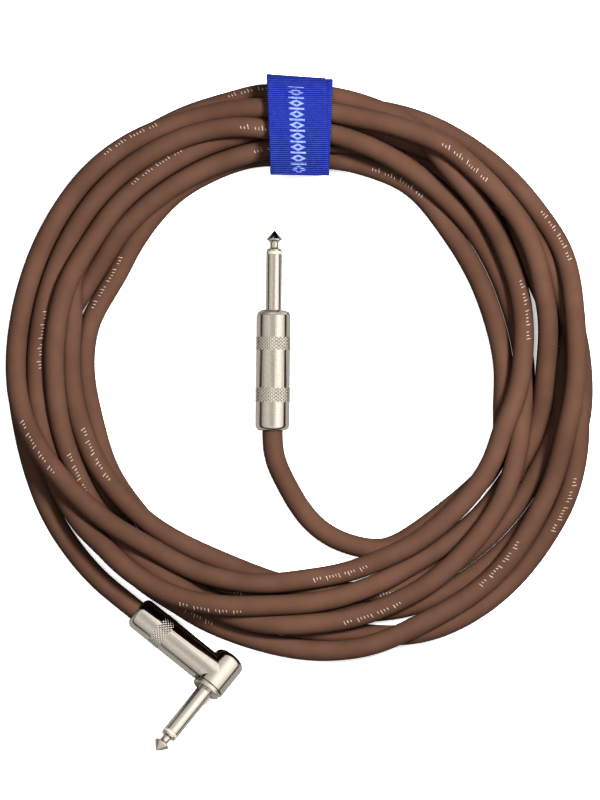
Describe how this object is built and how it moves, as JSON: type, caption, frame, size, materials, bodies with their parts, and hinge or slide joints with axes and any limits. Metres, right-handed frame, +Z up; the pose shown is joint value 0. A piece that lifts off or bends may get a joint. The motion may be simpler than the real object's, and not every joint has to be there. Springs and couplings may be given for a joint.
{
  "type": "instrument cable",
  "caption": "Coiled instrument cable with a straight 6.35 mm plug, a right-angle 6.35 mm plug and a hook-and-loop strap round the coil.",
  "frame": {"origin": "middle of the footprint, on the surface that the cable lies on", "axes": "+Z up, +Y from the coil's middle towards the strap, +X to the right as the coil is looked down on with the strap at the top"},
  "size_m": [0.235, 0.268, 0.0287],
  "materials": {
    "nickel": "warm polished nickel plate",
    "brass": "bare stamped brass",
    "copper": "bare copper strands",
    "solder": "dull solder",
    "nylon": "off-white nylon",
    "fibre": "brown fibre board",
    "black_tube": "black insulating tube",
    "core_insulation": "white polyethylene",
    "jacket": "matt brown rubber jacket with small pale marks",
    "webbing": "blue ribbed woven webbing",
    "hook_tape": "dark hook and loop pile",
    "thread": "pale blue thread"
  },
  "bodies": {
    "root": {"straight_tip_contact": "nickel", "straight_tip_insulator": "nylon", "straight_rod_insulator": "nylon", "straight_sleeve_contact": "nickel", "straight_rear_washer": "fibre", "straight_tip_lug": "brass", "straight_cable_clamp": "brass", "straight_core": "core_insulation", "straight_core_wire": "copper", "straight_shield_tail": "copper", "straight_solder": "solder", "angled_tip_contact": "nickel", "angled_tip_insulator": "nylon", "angled_rod_insulator": "nylon", "angled_sleeve_contact": "nickel", "angled_rear_washer": "fibre", "angled_tip_lug": "brass", "angled_cable_clamp": "brass", "angled_core": "core_insulation", "angled_core_wire": "copper", "angled_shield_tail": "copper", "angled_solder": "solder", "angled_head": "nickel", "angled_head_cap": "nickel", "strap_loop": "webbing", "strap_loop_tape": "hook_tape", "strap_hook_tape": "hook_tape", "strap_free_end": "webbing", "strap_stitching": "thread", "cable_coil": "jacket", "cable_lead_straight": "jacket", "cable_lead_angled": "jacket"},
    "straight_barrel_slide": {"straight_insulating_sleeve": "black_tube"},
    "straight_barrel": {"straight_barrel": "nickel"},
    "angled_barrel_slide": {"angled_insulating_sleeve": "black_tube"},
    "angled_barrel": {"angled_barrel": "nickel"}
  },
  "joints": [
    {"name": "straight_barrel_travel", "type": "slide", "parent": "root", "child": "straight_barrel_slide", "axis": [-0.0105, -0.9999, 0], "range_m": [0, 0.004]},
    {"name": "straight_barrel_turn", "type": "hinge", "parent": "straight_barrel_slide", "child": "straight_barrel", "pos_m": [-0.01028, 0.03617, 0.0071], "axis": [-0.0105, -0.9999, 0], "range_deg": [0, 1800]},
    {"name": "angled_barrel_travel", "type": "slide", "parent": "root", "child": "angled_barrel_slide", "axis": [-0.7815, 0.6217, -0.0523], "range_m": [0, 0.004]},
    {"name": "angled_barrel_turn", "type": "hinge", "parent": "angled_barrel_slide", "child": "angled_barrel", "pos_m": [-0.04031, -0.0988, 0.00839], "axis": [-0.7815, 0.6217, -0.0523], "range_deg": [0, 1800]}
  ],
  "couplings": [
    {"joint": "straight_barrel_travel", "follows": "straight_barrel_turn", "m_per_rad": 0.00012732},
    {"joint": "angled_barrel_travel", "follows": "angled_barrel_turn", "m_per_rad": 0.00012732}
  ]
}
